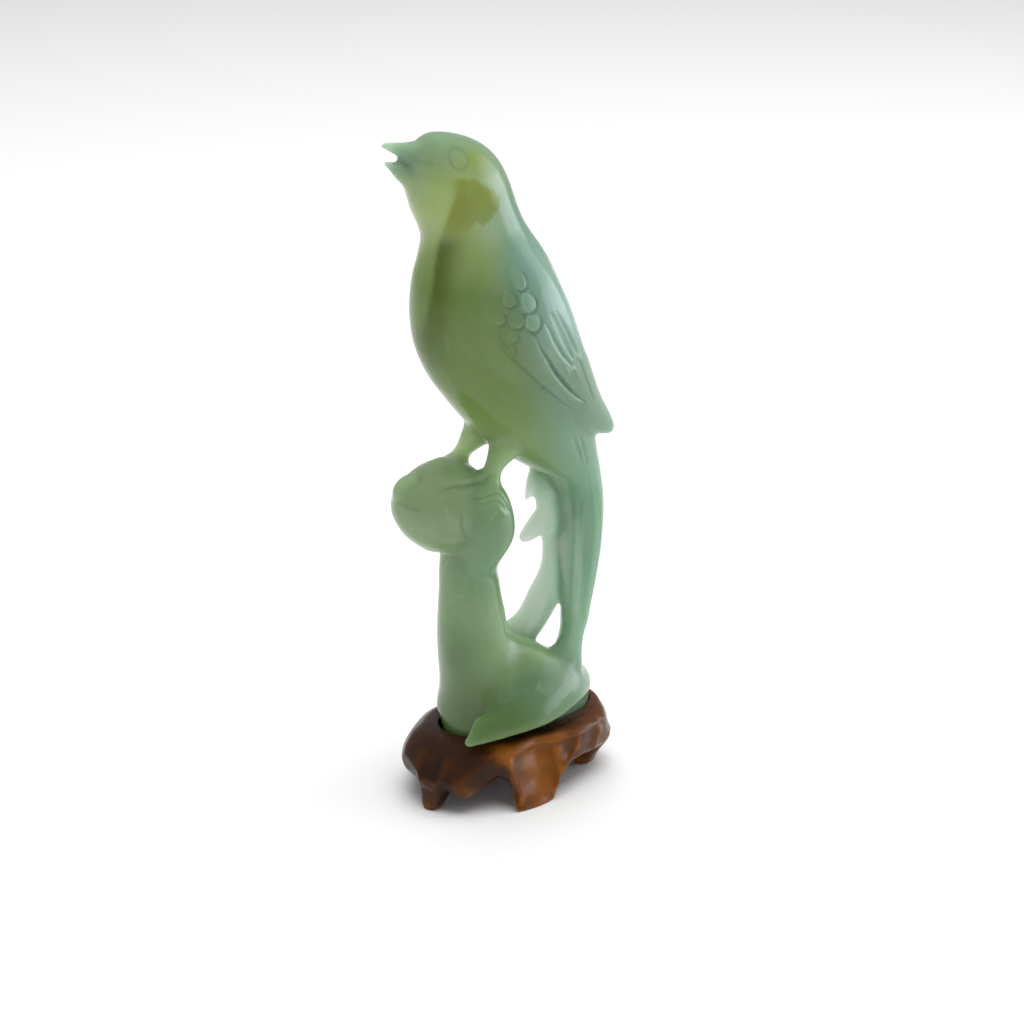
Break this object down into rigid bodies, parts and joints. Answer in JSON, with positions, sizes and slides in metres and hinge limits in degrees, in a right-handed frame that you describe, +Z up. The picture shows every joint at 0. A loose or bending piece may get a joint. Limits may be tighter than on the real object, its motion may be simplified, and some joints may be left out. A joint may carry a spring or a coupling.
{
  "type": "jade bird carving on hardwood stand",
  "caption": "Songbird with open bill on a tree stump, carved in pale green jade with a long tail and side branch, let into a low carved hardwood stand.",
  "frame": {"origin": "on the table, under the middle of the object's bounding box", "axes": "+Z up; the bird faces -X and its left side is towards -Y"},
  "size_m": [0.072, 0.05, 0.2001],
  "materials": {
    "jade": "polished, slightly translucent",
    "hardwood": "lacquered"
  },
  "bodies": {
    "root": {"jade_carving": "jade", "wood_stand": "hardwood"}
  },
  "joints": []
}
